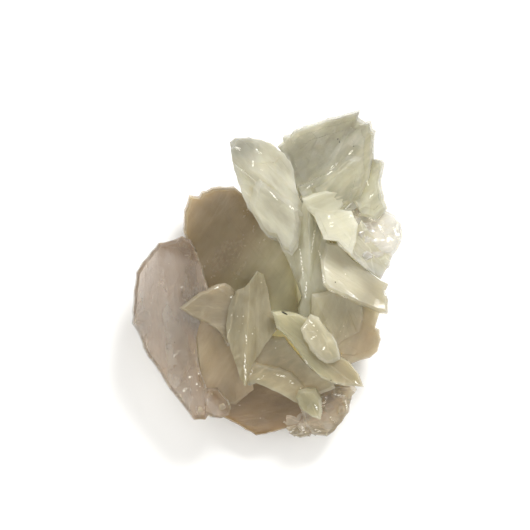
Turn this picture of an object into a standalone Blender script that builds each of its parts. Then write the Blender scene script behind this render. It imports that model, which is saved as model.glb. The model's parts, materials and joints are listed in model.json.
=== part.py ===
"""A cluster of bladed, translucent selenite crystals, grown together on a broken foot.

Plan outlines are in millimetres, as seen from straight above: +X right, +Y away, +Z up.
Each blade is a flat plate with chisel edges, tipped by its dip, on a stem that narrows
down to the foot. A bearing is the compass direction that a face runs downhill to, in
degrees counter-clockwise from +X.
"""

import math
import random

import bmesh
import bpy
from mathutils import Matrix, Vector

MM = 0.001
NODE = "crystal_cluster"
CUT_HEIGHT = 0.0
BURIED = 2.0
BURIED_STEP = 0.11
SKY = 60.0
MERGE = 0.00001
LUMP_SEED = 11
LUMP_ROUGHNESS = 0.16


def clear_scene():
    for obj in list(bpy.data.objects):
        bpy.data.objects.remove(obj, do_unlink=True)


def new_collection(name):
    collection = bpy.data.collections.new(name)
    bpy.context.scene.collection.children.link(collection)
    return collection


def crystal_material():
    """Pale, slightly green, milky crystal."""
    material = bpy.data.materials.new("selenite")
    material.use_nodes = True
    shader = material.node_tree.nodes["Principled BSDF"]
    shader.inputs["Base Color"].default_value = (0.62, 0.60, 0.48, 1)
    shader.inputs["Roughness"].default_value = 0.2
    shader.inputs["Metallic"].default_value = 0.0
    shader.inputs["Transmission Weight"].default_value = 0.5
    shader.inputs["IOR"].default_value = 1.52
    return material


def growing(name, bm):
    """Keeps one crystal as a hidden helper, ready to be joined into the cluster."""
    bmesh.ops.recalc_face_normals(bm, faces=bm.faces)
    mesh = bpy.data.meshes.new(name)
    bm.to_mesh(mesh)
    bm.free()
    obj = bpy.data.objects.new(name, mesh)
    obj.hide_render = True
    obj.display_type = "WIRE"
    crystals.objects.link(obj)
    return obj


def middle_of(outline):
    return sum((Vector(point) for point in outline), Vector((0, 0))) / len(outline)


def prism(name, points, half_thickness):
    """A flat plate, made as a filled 2D curve with an extrusion."""
    curve = bpy.data.curves.new(name, "CURVE")
    curve.dimensions = "2D"
    curve.fill_mode = "BOTH"
    curve.extrude = half_thickness * MM
    spline = curve.splines.new("POLY")
    spline.points.add(len(points) - 1)
    for spot, (along, across) in zip(spline.points, points):
        spot.co = (along * MM, across * MM, 0, 1)
    spline.use_cyclic_u = True
    guide = bpy.data.objects.new(name + "_outline", curve)
    bpy.context.scene.collection.objects.link(guide)
    bpy.context.view_layer.update()
    mesh = bpy.data.meshes.new_from_object(guide.evaluated_get(bpy.context.evaluated_depsgraph_get()))
    bm = bmesh.new()
    bm.from_mesh(mesh)
    bmesh.ops.remove_doubles(bm, verts=bm.verts, dist=MERGE)
    bmesh.ops.recalc_face_normals(bm, faces=bm.faces)
    bpy.data.objects.remove(guide)
    bpy.data.curves.remove(curve)
    bpy.data.meshes.remove(mesh)
    return bm


def cap_faces(bm, up):
    return [face for face in bm.faces if face.normal.z * up > 0.9]


def drawn_out(bm, faces):
    """Extrudes a cap and gives back the vertices of its new end."""
    result = bmesh.ops.extrude_face_region(bm, geom=faces)
    bmesh.ops.delete(bm, geom=faces, context="FACES")
    return [piece for piece in result["geom"] if isinstance(piece, bmesh.types.BMVert)]


def chisel(bm, up, width, drop):
    """Draws a cap outwards and in towards its middle, which leaves a sloping edge round it."""
    rim = drawn_out(bm, cap_faces(bm, up))
    middle = sum((vertex.co.xy for vertex in rim), Vector((0, 0))) / len(rim)
    for vertex in rim:
        inward = (middle - vertex.co.xy).normalized() * width
        vertex.co += Vector((inward.x, inward.y, up * drop))
    return rim


def stem(bm, cap, foot, shrink):
    """Draws the lower cap down below the cut, narrowing to the foot."""
    end = drawn_out(bm, cap)
    middle = sum((vertex.co.xy for vertex in end), Vector((0, 0))) / len(end)
    depth = -(BURIED + BURIED_STEP * len(crystals.objects)) * MM
    for vertex in end:
        spread = (vertex.co.xy - middle) * shrink
        vertex.co = Vector((foot[0] * MM + spread.x, foot[1] * MM + spread.y, depth))


def blade(name, top, dip, bearing, thick, outline, edge=0.8, bevel=0.8, foot=None, shrink=0.5):
    """One crystal blade. top is the height of its upper face at the outline's middle."""
    dip, bearing = math.radians(dip), math.radians(bearing)
    middle = middle_of(outline)
    downhill = Vector((math.cos(bearing), math.sin(bearing)))
    level = Vector((-math.sin(bearing), math.cos(bearing)))
    offsets = [Vector(point) - middle for point in outline]
    points = [(offset.dot(downhill) / math.cos(dip), offset.dot(level)) for offset in offsets]
    bm = prism(name, points, thick / 2 - bevel)
    chisel(bm, 1, edge * MM, bevel * MM)
    under = chisel(bm, -1, edge * MM, bevel * MM)
    frame = Matrix.Rotation(bearing, 4, "Z") @ Matrix.Rotation(dip, 4, "Y")
    centre = Vector((middle.x, middle.y, top)) - frame @ Vector((0, 0, thick / 2))
    bmesh.ops.transform(bm, verts=bm.verts, matrix=Matrix.Translation(centre * MM) @ frame)
    if foot is not None:
        below = set(under)
        stem(bm, [face for face in bm.faces if all(vertex in below for vertex in face.verts)], foot, shrink)
    return growing(name, bm)


def roofed(name, ridge, falls, waist, outline, foot, shrink=0.5):
    """A crystal with a ridge: two faces that fall away from the line between its two ends."""
    middle = middle_of(outline)
    bm = prism(name, [tuple(Vector(point) - middle) for point in outline], (SKY - waist) / 2)
    lift = Vector((middle.x, middle.y, (SKY + waist) / 2)) * MM
    bmesh.ops.translate(bm, verts=bm.verts, vec=lift)
    start, end = (Vector(point) for point in ridge)
    along = (end - start).normalized()
    across = Vector((-along.y, along.x, 0)).normalized()
    for side, fall in zip((1, -1), falls):
        downhill = across * side * math.cos(math.radians(fall)) - Vector((0, 0, math.sin(math.radians(fall))))
        normal = along.cross(downhill) * side
        cut = bmesh.ops.bisect_plane(bm, geom=bm.verts[:] + bm.edges[:] + bm.faces[:], plane_co=start * MM,
                                     plane_no=normal, clear_outer=True)
        rim = [piece for piece in cut["geom_cut"] if isinstance(piece, bmesh.types.BMEdge)]
        bmesh.ops.holes_fill(bm, edges=rim)
    bmesh.ops.recalc_face_normals(bm, faces=bm.faces)
    stem(bm, cap_faces(bm, -1), foot, shrink)
    return growing(name, bm)


def lump(name, centre, radii, chance):
    """A broken, faceted knob of the same crystal."""
    bm = bmesh.new()
    bmesh.ops.create_icosphere(bm, subdivisions=1, radius=1.0)
    for vertex in bm.verts:
        vertex.co *= 1 + chance.uniform(-LUMP_ROUGHNESS, LUMP_ROUGHNESS)
    turn = Matrix.Rotation(chance.uniform(0, math.tau), 4, "Z") @ Matrix.Rotation(chance.uniform(0, 1), 4, "X")
    size = Matrix.Diagonal((*(radius * MM for radius in radii), 1))
    bmesh.ops.transform(bm, verts=bm.verts, matrix=Matrix.Translation(Vector(centre) * MM) @ size @ turn)
    return growing(name, bm)


def heart():
    """The low, cloudy mass that the right-hand blades stand on."""
    blade("heart", 12.5, 6, -40, 10, [
        (8, 0), (9, 12), (20, 15), (27, 5), (27, -16), (20, -23), (9, -15)], bevel=1.5, foot=(15, -3), shrink=0.8)


def left_side():
    blade("left_plate", 17, 9, 0, 5.5, [
        (-30.2, 9.5), (-27.2, 10), (-23.8, 11.4), (-21.3, 10.3), (-19.6, 6.7), (-18.2, 2.5), (-16.4, -3.7),
        (-17.6, -9.3), (-19.9, -19.1), (-18.8, -26.7), (-16.4, -33), (-16, -38), (-17.4, -40.1), (-20.4, -40.1), (-22.7, -37),
        (-26.9, -31.7), (-30.2, -26.4), (-33, -22.5), (-34.4, -20), (-36.1, -15.2), (-37.5, -13.1),
        (-37.5, -9.9), (-37, -3.7), (-36.4, 1.3), (-34.7, 4.1), (-32.2, 7.2)], bevel=1.2, foot=(-9, -10),
        shrink=0.45)
    blade("left_lobe", 15.5, 8, 20, 6, [
        (-19, -31), (-14, -31), (-10.9, -34.8), (-10.2, -36.8), (-10.9, -38.7), (-12.9, -39.6), (-15.4, -39.3),
        (-18, -38)], foot=(-8, -22), shrink=0.6)
    blade("valley", 12.8, 12, -60, 8, [
        (-21, -12.7), (-12, -9.6), (-3.5, -12.7), (-3.5, -32.3), (-9, -36.1), (-13.7, -35.8), (-19, -30)],
        foot=(-7, -17), shrink=0.7)
    blade("pointer", 19.2, 8, -10, 4.5, [
        (-24.6, -8.8), (-21.8, -6.5), (-19, -4.4), (-16.2, -3.2), (-14, -2.2), (-11.8, -1.8), (-10.4, -2.6),
        (-9.2, -4), (-7, -7.1), (-6.3, -13.5), (-7.4, -19.4), (-11.2, -19.4), (-12.9, -16.3),
        (-14.8, -14.4), (-18.5, -12.4), (-21.8, -10.7)], bevel=0.9)


def smoky_plate():
    blade("smoky_plate", 10, 10, -50, 5, [
        (-23.5, 12.5), (-23.2, 18.1), (-21.8, 22.5), (-19, 22.2), (-18.2, 23.5), (-16.8, 23.7),
        (-15.4, 24.6), (-13.2, 24.9), (-9.2, 24.9), (-7.3, 23.2), (-3.4, 20.9), (4.8, 13.7), (9.5, 4.1),
        (12.3, -6.5), (9, -13.5), (-5, -14.9), (-14.8, -9.9), (-20.4, 0.5)], foot=(-3, 2), shrink=0.6)


def tall_blades():
    roofed("tall_blade", ((-7.8, 34.1, 35), (8.4, 18.7, 27)), (14, 19), 20, [
        (-10.4, 35.5), (-8.4, 37.5), (-1.7, 37.3), (2.5, 35.5), (4.5, 34.4), (6.2, 32.1), (7.1, 29.9),
        (7.4, 27.1), (8.4, 22.6), (10.1, 19.8), (9.2, 13.7), (8.4, 8.1), (6.7, 5.8), (4.2, 7.1), (2.5, 10.7),
        (0, 11.1), (-2, 13.4), (-4.5, 17.9), (-5.6, 19), (-7, 22.3), (-8.4, 26.5), (-9.5, 29.9),
        (-10.1, 32.7)], foot=(4, 15))
    blade("tall_back", 32.9, 22, 5, 3, [
        (-9.9, 37.5), (-8.6, 38.6), (-5, 38.9), (-1.7, 38.3), (1.1, 37.3), (2.5, 36.1), (5, 33.5),
        (2.2, 31.5), (-3.6, 31), (-8, 33.2), (-9.4, 35.2)], edge=0.6, foot=(2, 20), shrink=0.8)
    blade("tall_front", 28.3, 20, -80, 4, [
        (-2.5, 27.9), (-0.6, 26), (3.1, 23.2), (6.4, 20.7), (8.4, 18.4), (9, 14.8), (8.4, 9.7),
        (6.7, 6.1), (4.2, 7.5), (2.5, 10.9), (0, 11.4), (-2, 13.4), (-4.2, 17.9), (-5.2, 19.8),
        (-4.2, 24.3)], edge=0.7)


def column():
    roofed("column", ((11.2, 21.8, 29.5), (11.8, -8.5, 14)), (45, 33), 8, [
        (10.1, 21.8), (11.5, 20.4), (12.9, 17), (14.3, 13.4), (15.5, 10.3), (14.6, 7.8), (13.4, 5.5),
        (12.6, 1.9), (12, -4.3), (10.4, -8.5), (9.5, -5.7), (7.8, -1.2), (5.9, 3.6), (4.2, 7.2), (6.4, 10.3),
        (8.1, 15.9)], foot=(10, 4), shrink=0.8)
    blade("column_foot", 16.9, 14, -75, 5, [
        (11.5, 11.5), (16, 12), (18.5, 8), (18, -2), (19.6, -6.5), (21.6, -9.9), (17.4, -12.4), (12.3, -13),
        (8.9, -14.3), (8.5, -9.3), (9.6, -6.2), (8.6, -1.8), (10, 4)], foot=(13, -4), shrink=0.8)


def upper_right():
    blade("upper_plate", 30, 17, 235, 5, [
        (2.5, 36.1), (4.2, 37.2), (3.9, 38.6), (5.9, 38.9), (6.7, 40.1), (9.2, 41.1), (16, 43.3),
        (21.6, 44.7), (25.2, 45.6), (24.6, 43.3), (26.3, 42.2), (28, 42.6), (28.4, 40.3), (29.4, 39.6),
        (29, 37.5), (29, 32.7), (28, 27.1), (25.8, 22.1), (18.8, 17.3), (12.3, 17.3), (9.5, 20.5),
        (6.3, 27.7), (5, 32.4)], edge=0.6, foot=(14, 19), shrink=0.42)
    blade("upper_inner", 30, 13, 250, 4, [
        (8.7, 24.9), (17.4, 29.3), (22.1, 33.8), (26.3, 33.2), (26.9, 29.3), (25.8, 24.9), (23, 20.7),
        (16, 18.3), (10.6, 19.7)], edge=1.2)
    blade("upper_step", 27.5, 14, 200, 4.5, [
        (24.6, 33.2), (29, 32.7), (31.1, 32.3), (31.8, 31.3), (31.1, 28.2), (30.7, 26.5), (31.5, 22.3),
        (31.6, 20.7), (32.5, 18.7), (30, 15.9), (25.8, 17), (23.5, 21.5), (24.6, 27.1)], edge=0.6,
        foot=(19, 15), shrink=0.6)
    blade("cream_upper", 29.2, 14, 285, 5, [
        (9.5, 21.5), (12.6, 22.9), (16.2, 24), (19.9, 23.9), (21.8, 21.8), (21, 19.8), (18.5, 16),
        (13.4, 16), (11.2, 18.3)], foot=(13, 14), shrink=0.9)
    blade("cream_lower", 27.8, 8, 300, 6, [
        (11.2, 19.8), (15.1, 19.3), (19.6, 19), (23.5, 18.1), (25.2, 14.5), (24.6, 9.5), (23.5, 5.8),
        (21.3, 7.8), (19.5, 9.7), (17.4, 10), (15.5, 10.3), (14.3, 13.4), (12.9, 16.7)], edge=0.5,
        foot=(16, 11), shrink=0.9)


def right_side():
    blade("right_shelf", 23.8, 13, -45, 5, [
        (20.3, 16.3), (26.3, 15.7), (31.4, 9.2), (34.8, 5.5), (33.9, 2.8), (31.6, -0.9), (27, 2.2),
        (19.7, 8.6)], edge=0.6, foot=(22, 7))
    blade("clear_lobe", 23.4, 10, 0, 6, [
        (25.9, 17.1), (29.7, 19.8), (32.2, 19), (33.9, 18.1), (35.6, 17.2), (36.4, 15.9), (37.5, 14.8),
        (37.8, 12.5), (37.8, 10.9), (37.2, 9.2), (36.4, 7.5), (34.7, 5.3), (31.6, 5.9), (28.1, 9.3),
        (26.4, 13.2)], edge=1.2, bevel=1.6, foot=(22, 10), shrink=0.6)
    blade("right_blade", 22.5, 11, 75, 4.5, [
        (16, 10), (19.3, 9.5), (21.3, 7.8), (23.2, 5.5), (26, 3.6), (28.8, 1.3), (31.6, -0.9),
        (33.7, -1.8), (32.8, -4), (33.6, -6.2), (33.5, -9.9), (31.1, -9.5), (25.8, -7.4), (20.2, -4.8),
        (16.8, -3.2), (15.4, -1.5), (15, 1.9), (14.7, 5.3), (15.7, 7.8)], bevel=1.1, foot=(17, -1),
        shrink=0.55)
    blade("box_top", 16.5, 12, -60, 5, [
        (12.4, -5), (20.2, -3.3), (26.3, -6.1), (26.9, -12.1), (25.8, -15.8), (23, -17.4),
        (18.3, -20.6), (14, -17.2), (12, -11)], foot=(18, -9), shrink=0.8)
    blade("box_low", 14, 8, -30, 6, [
        (17.4, -5.4), (26.3, -6), (31.6, -9), (31.4, -10.2), (30.2, -14.4), (31.4, -14.9), (31.8, -17.7),
        (30.8, -21.1), (28.8, -22.8), (25.8, -23.6), (23, -24.7), (18.5, -23.9), (15.1, -17.7)], edge=0.6,
        foot=(19, -11), shrink=0.6)


def lower_right():
    blade("lower_blade", 24, 9, -40, 4.5, [
        (1.4, -9.9), (3.6, -9.7), (7.8, -10.2), (10.6, -11.3), (14.3, -11.6), (16.8, -14.4),
        (19.3, -18), (19.9, -20.5), (20.7, -22.5), (23, -23.9), (23.9, -25.3), (25.5, -27.2),
        (26.3, -29.5), (26.9, -30.9), (21.6, -30.6), (18.8, -30), (15.1, -28.4), (11.2, -25),
        (8.1, -20.2), (4.5, -16), (2.5, -14.4), (1.8, -11.6)], bevel=0.9, foot=(12, -17), shrink=0.55)
    blade("hood", 25.6, 9, 0, 4, [
        (9.2, -14.4), (10.6, -12.4), (12, -10.4), (14.3, -11.3), (16.2, -14.1), (18.2, -16.3),
        (19.3, -18.3), (19.9, -20.5), (20.4, -23), (18.5, -24), (16.5, -24.2), (14.3, -23), (12, -20.5),
        (10.1, -17.2)])
    blade("olive_floor", 15, 10, -30, 8, [
        (-1.7, -17), (3, -13.6), (10, -18), (17, -28), (16, -33), (8, -32), (-2, -27)], foot=(6, -20),
        shrink=0.7)
    blade("green_knob", 18, 10, 240, 8, [
        (7.6, -34), (8.4, -32), (10.6, -31.4), (13.2, -31.7), (14.8, -34.5), (15.1, -37.9), (14.6, -40.1),
        (12.3, -39.6), (9.8, -37.9), (8.4, -36.2)], bevel=1.4, foot=(10, -27), shrink=0.8)
    blade("glass_skirt", 11, 15, -60, 6, [
        (9, -32.3), (12.3, -30.6), (17.4, -30), (23.5, -30.7), (25.2, -32), (23.8, -33.4), (23.8, -34.5),
        (23.2, -35.9), (23, -38.2), (21, -41.2), (18.8, -43.8), (16.8, -45.2), (14.6, -44.9),
        (12.6, -44.6), (10.6, -42.4), (9.2, -37.3)], edge=0.7, bevel=1.2, foot=(13, -27), shrink=0.5)
    blade("glass_toe", 8.4, 10, -90, 4.5, [
        (3.5, -41), (5, -42.9), (6.7, -44.6), (9, -45.6), (11.8, -45.2), (13.7, -42.9), (13.3, -38.1),
        (9.2, -37), (5, -38)], edge=0.6, bevel=1.2, foot=(8, -29), shrink=0.6)


def bottom():
    blade("bottom_plate", 9.2, 12, -95, 5, [
        (-12.9, -39.6), (-10.1, -41), (-6.4, -43.2), (-3.4, -44.9), (-0.8, -44.5), (2, -43.8), (5, -42.9),
        (9, -41.8), (12.3, -38.1), (12, -32), (4.8, -27.9), (-5, -26.8), (-11.8, -29), (-14.3, -34.5)],
        edge=0.7, foot=(0, -25), shrink=0.55)
    blade("ledge", 17, 20, -75, 7, [
        (-6, -24.8), (-3.4, -24.3), (-0.6, -25.1), (3.4, -25.7), (6.7, -27.1), (9.5, -29.6),
        (12.3, -32.6), (10.6, -36.2), (7.8, -35.6), (4.8, -33.7), (1.1, -32), (-1.7, -30.6),
        (-3.9, -29.8), (-5.6, -30.6), (-6.4, -28.4)], edge=0.6, foot=(3, -24), shrink=0.8)
    blade("ledge_back", 16.5, 12, -60, 8, [
        (-3.7, -19.5), (0.6, -16.7), (4.8, -17.3), (9, -22.3), (14, -27.4), (17.9, -28.5), (19, -31.4),
        (14, -33.6), (9, -32.2), (4.8, -29.4), (-1.7, -27.7), (-5, -25)], foot=(6, -23), shrink=0.7)


def arrow():
    roofed("arrow", ((-6.5, -30.3, 26), (-5, -1.2, 22)), (33, 20), 9, [
        (-11.2, -8.8), (-10.1, -6), (-8.7, -3.7), (-7, -3.2), (-5, -1.2), (-3.1, 1.6), (-1.1, 0.5),
        (0, -3.7), (0.6, -7.9), (1.7, -11.6), (2.8, -14.4), (0.3, -17.7), (-1.7, -20.5), (-4.5, -25),
        (-6.3, -30.6), (-7.8, -28.4), (-9.2, -23.9), (-10.4, -20.5), (-11.5, -17.2), (-11.8, -13.5)],
        foot=(-4, -14), shrink=0.9)


def knobs():
    """The rough, glassy knobs at the right edge and round the lower right corner."""
    chance = random.Random(LUMP_SEED)
    places = [
        ((26.5, 17.5, 25), 3.0), ((30.5, 15, 23.2), 3.8), ((34.2, 12.4, 21.6), 3.2), ((34.6, 8.8, 20.8), 2.4),
        ((29.5, 10.4, 23.2), 3.4), ((32.4, 16.6, 22), 2.2),
        ((9.3, -42.4, 7.6), 2.4), ((13.2, -41.6, 8.6), 2.0), ((16.4, -42.4, 8), 2.0),
        ((19.2, -40, 8.8), 2.2), ((20.8, -37.4, 9.6), 2.0), ((21.6, -34.2, 10.4), 1.7),
        ((17, -37.5, 10.8), 3.2), ((19.6, -33, 11.8), 2.4), ((-19.4, -37.2, 15.9), 1.5),
        ((-12.8, -36.4, 15), 1.5),
    ]
    for number, (centre, radius) in enumerate(places, 1):
        lump(f"knob_{number}", centre, (radius, radius, radius * 0.8), chance)


def grown_together():
    """Joins every crystal with one union, as one mesh."""
    seed = crystals.objects["smoky_plate"]
    crystals.objects.unlink(seed)
    joined.objects.link(seed)
    join = seed.modifiers.new("grown_together", "BOOLEAN")
    join.operation = "UNION"
    join.operand_type = "COLLECTION"
    join.collection = crystals
    bpy.context.view_layer.update()
    mesh = bpy.data.meshes.new_from_object(seed.evaluated_get(bpy.context.evaluated_depsgraph_get()))
    mesh.name = NODE
    return mesh


def without_pockets(bm):
    """Fills the pockets shut in between crystals: only the skin with the most faces is kept."""
    skins = []
    left = set(bm.faces)
    while left:
        skin = []
        waiting = [left.pop()]
        while waiting:
            face = waiting.pop()
            skin.append(face)
            near = {other for edge in face.edges for other in edge.link_faces} & left
            left -= near
            waiting += near
        skins.append(skin)
    skins.sort(key=len)
    pockets = [face for skin in skins[:-1] for face in skin]
    bmesh.ops.delete(bm, geom=pockets, context="FACES")


def cut_and_centre(mesh):
    """Cuts the foot off flat, and puts the origin under the middle of the cluster's box."""
    bm = bmesh.new()
    bm.from_mesh(mesh)
    cut = bmesh.ops.bisect_plane(bm, geom=bm.verts[:] + bm.edges[:] + bm.faces[:], plane_co=(0, 0, CUT_HEIGHT),
                                 plane_no=(0, 0, 1), clear_inner=True)
    rim = [piece for piece in cut["geom_cut"] if isinstance(piece, bmesh.types.BMEdge)]
    bmesh.ops.holes_fill(bm, edges=rim)
    bmesh.ops.remove_doubles(bm, verts=bm.verts, dist=MERGE)
    bmesh.ops.triangulate(bm, faces=bm.faces)
    without_pockets(bm)
    xs = [vertex.co.x for vertex in bm.verts]
    ys = [vertex.co.y for vertex in bm.verts]
    shift = Vector((-(min(xs) + max(xs)) / 2, -(min(ys) + max(ys)) / 2, -CUT_HEIGHT))
    bmesh.ops.translate(bm, verts=bm.verts, vec=shift)
    bm.to_mesh(mesh)
    bm.free()


clear_scene()
crystals = new_collection("single_crystals")
joined = new_collection("joined_crystals")
heart()
left_side()
smoky_plate()
tall_blades()
column()
upper_right()
right_side()
lower_right()
bottom()
arrow()
knobs()
cluster_mesh = grown_together()
cut_and_centre(cluster_mesh)
for helper in list(crystals.objects) + list(joined.objects):
    bpy.data.objects.remove(helper, do_unlink=True)
cluster_mesh.materials.clear()
cluster_mesh.materials.append(crystal_material())
cluster = bpy.data.objects.new(NODE, cluster_mesh)
new_collection("selenite_cluster").objects.link(cluster)
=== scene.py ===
"""The looks of a cluster of bladed selenite crystals, grown together on a broken foot.

Outlines are in millimetres as seen from straight above, X to the right and Y away.
"""

import json
import math
import random

import bpy
from mathutils import Matrix, Vector

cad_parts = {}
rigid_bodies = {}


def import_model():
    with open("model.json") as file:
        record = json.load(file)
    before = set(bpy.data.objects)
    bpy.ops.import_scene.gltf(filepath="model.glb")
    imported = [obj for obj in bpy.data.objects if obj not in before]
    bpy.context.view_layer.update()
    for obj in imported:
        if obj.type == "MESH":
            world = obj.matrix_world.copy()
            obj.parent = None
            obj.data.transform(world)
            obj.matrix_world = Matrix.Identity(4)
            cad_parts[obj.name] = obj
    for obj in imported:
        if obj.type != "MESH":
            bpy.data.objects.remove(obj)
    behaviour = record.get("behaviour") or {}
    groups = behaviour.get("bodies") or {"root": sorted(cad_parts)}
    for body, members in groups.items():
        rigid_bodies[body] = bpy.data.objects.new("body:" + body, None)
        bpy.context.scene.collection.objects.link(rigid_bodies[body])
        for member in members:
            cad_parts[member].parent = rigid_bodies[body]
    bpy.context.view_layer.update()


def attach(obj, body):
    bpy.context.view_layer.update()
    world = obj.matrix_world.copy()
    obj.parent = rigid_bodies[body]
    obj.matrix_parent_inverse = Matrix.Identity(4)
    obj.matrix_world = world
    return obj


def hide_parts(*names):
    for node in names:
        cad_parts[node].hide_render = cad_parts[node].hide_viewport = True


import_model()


# The two thin plates at the left and the pointed blade that lies on them.
# Clear gypsum, faintly cloudy, with feathers where it has started to cleave, and small glints of painted
# highlight.
# Each is a flat slab with chisel edges, and the plates stand on stems that narrow to the foot.
MM = 0.001
ORIGIN = Vector((0.3253, -0.6071))  # where the outlines' zero lies in the frame, in millimetres
FLAT = 0.9  # an upward face's normal has at least this much Z in it
SLOPING = 0.2  # and a sloping one's at least this much
WELD = 0.01 * MM
STEM_DEPTH = 2  # how far the stems run on below the cut
STEM_STAGGER = 0.11  # and how much deeper each ends than the last, so that no two ends are level
chips = random.Random(5)
grown = bpy.data.collections.new("single_crystals")
bpy.context.scene.collection.children.link(grown)


def alone(obj):
    """Selects this object and nothing else."""
    bpy.ops.object.select_all(action="DESELECT")
    obj.select_set(True)
    bpy.context.view_layer.objects.active = obj


def editing(on):
    """Starts editing the active object, or stops it."""
    bpy.ops.object.mode_set(mode="EDIT" if on else "OBJECT")


def chipped(outline, bite, run=1.7, stray=0.25):
    """Breaks the long sides of an outline into short runs, each nicked inwards by up to bite."""
    middle = sum((Vector(point) for point in outline), Vector((0, 0))) / len(outline)
    nicked = []
    for start, end in zip(outline, outline[1:] + outline[:1]):
        start, end = Vector(start), Vector(end)
        pieces = max(1, round((end - start).length / run))
        nicked.append(start)
        for piece in range(1, pieces):
            point = start.lerp(end, (piece + chips.uniform(-stray, stray)) / pieces)
            nicked.append(point + (middle - point).normalized() * chips.uniform(0, bite))
    return nicked, middle


def slab(name, points, thick, finish):
    """A flat plate at the origin, from a filled 2D curve. finish is its pair of materials."""
    curve = bpy.data.curves.new(name, "CURVE")
    curve.dimensions = "2D"
    curve.fill_mode = "BOTH"
    curve.extrude = thick / 2 * MM
    spline = curve.splines.new("POLY")
    spline.points.add(len(points) - 1)
    for spot, (along, across) in zip(spline.points, points):
        spot.co = (along * MM, across * MM, 0, 1)
    spline.use_cyclic_u = True
    obj = bpy.data.objects.new(name, curve)
    grown.objects.link(obj)
    alone(obj)
    bpy.ops.object.convert(target="MESH")
    for material in finish:
        obj.data.materials.append(material)
    editing(True)
    bpy.ops.mesh.select_mode(type="FACE")
    bpy.ops.mesh.select_all(action="SELECT")
    bpy.ops.mesh.remove_doubles(threshold=WELD)
    bpy.ops.mesh.normals_make_consistent(inside=False)
    editing(False)
    return obj


def pick_cap(obj, up, least=FLAT):
    """Selects the flat end that faces up, or the one that faces down, and starts editing."""
    editing(True)
    bpy.ops.mesh.select_all(action="DESELECT")
    editing(False)
    for face in obj.data.polygons:
        face.select = face.normal.z * up > least
    editing(True)


def drawn(scale, move, centre):
    """Extrudes what is selected, then scales and moves its new end."""
    bpy.ops.mesh.extrude_region()
    bpy.ops.transform.resize(value=scale, center_override=centre)
    bpy.ops.transform.translate(value=move)


def ribbed(obj, bearing, lines, lift, least=FLAT, stray=0.35, skew=0.09, lowest=0.4):
    """Creases the upper face with lines that run along the crystal, each a little high or low.
    They stray from even spacing, are turned by up to skew, and rise or sink by at least the
    share lowest of the lift."""
    across = Vector((-math.sin(bearing), math.cos(bearing), 0))
    spread = [vertex.co.dot(across) for vertex in obj.data.vertices]
    low, high = min(spread), max(spread)
    for line in range(lines):
        at = across * (low + (high - low) * (line + 1 + chips.uniform(-stray, stray)) / (lines + 1))
        pick_cap(obj, 1, least)
        bpy.ops.mesh.select_mode(type="VERT")
        turn = Matrix.Rotation(chips.uniform(-skew, skew), 3, "Z")
        bpy.ops.mesh.bisect(plane_co=at, plane_no=turn @ across)
        rise = chips.choice((-1, 1)) * chips.uniform(lowest, 1) * lift * MM
        bpy.ops.transform.translate(value=(0, 0, rise))
        bpy.ops.mesh.select_mode(type="FACE")
        editing(False)


def in_triangles():
    """Splits every face of the active object into triangles."""
    editing(True)
    bpy.ops.mesh.select_all(action="SELECT")
    bpy.ops.mesh.quads_convert_to_tris()
    editing(False)


def stem(obj, foot, shrink):
    """Draws the selected lower cap down past the cut, narrowing to the foot."""
    ends = [vertex.co for vertex in obj.data.vertices if vertex.select]
    middle = sum(ends, Vector()) / len(ends)
    depth = -(STEM_DEPTH + STEM_STAGGER * len(grown.objects)) * MM
    target = Vector(((foot[0] + ORIGIN.x) * MM, (foot[1] + ORIGIN.y) * MM, depth))
    editing(True)
    drawn((shrink, shrink, 0), target - middle, middle)
    editing(False)


def blade(name, finish, top, dip, bearing, thick, outline, edge=0.8, bevel=0.8, foot=None, shrink=0.5,
          layers=(), nick=0.22, ribs=3, lift=0.16, batter=0.985):
    """One crystal blade. top is the height of its upper face at the outline's middle, and it runs
    downhill by dip degrees towards the bearing. edge and bevel are the width and height of the
    slope round its faces. layers are thin growth steps on it: for each its size beside the one
    below, its height, and where it gathers, as a share of the blade's reach. batter narrows a
    step upwards."""
    dip, bearing = math.radians(dip), math.radians(bearing)
    nicked, middle = chipped(outline, nick)
    downhill = Vector((math.cos(bearing), math.sin(bearing)))
    level = Vector((-math.sin(bearing), math.cos(bearing)))
    points = [((point - middle).dot(downhill) / math.cos(dip), (point - middle).dot(level))
              for point in nicked]
    reach = sum(math.hypot(*point) for point in points) / len(points)
    obj = slab(name, points, thick - 2 * bevel, finish)
    chisel = 1 - edge / reach
    pick_cap(obj, 1)
    drawn((chisel, chisel, 1), (0, 0, bevel * MM), (0, 0, 0))
    editing(False)
    lengthways = 0.5 * math.atan2(2 * sum(u * v for u, v in points), sum(u * u - v * v for u, v in points))
    ribbed(obj, lengthways, ribs, lift)
    pick_cap(obj, 1)
    for size, rise, (along, across) in layers:
        gathered = Vector((along * reach, across * reach, 0)) * MM
        drawn((size, size, 1), (0, 0, 0), gathered)
        drawn((batter, batter, 1), (0, 0, rise * MM), gathered)
    pick_cap(obj, -1)
    drawn((chisel, chisel, 1), (0, 0, -bevel * MM), (0, 0, 0))
    editing(False)
    # The sloping faces take the paler finish, a painted highlight.
    for face in obj.data.polygons:
        face.material_index = 1 if SLOPING < face.normal.z < FLAT else 0
    turn = Matrix.Rotation(bearing, 4, "Z") @ Matrix.Rotation(dip, 4, "Y")
    centre = Vector((middle.x + ORIGIN.x, middle.y + ORIGIN.y, top)) - turn @ Vector((0, 0, thick / 2))
    obj.matrix_world = Matrix.Translation(centre * MM) @ turn
    bpy.ops.object.transform_apply(location=True, rotation=True, scale=True)
    if foot is not None:
        stem(obj, foot, shrink)
    in_triangles()
    return obj


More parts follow.
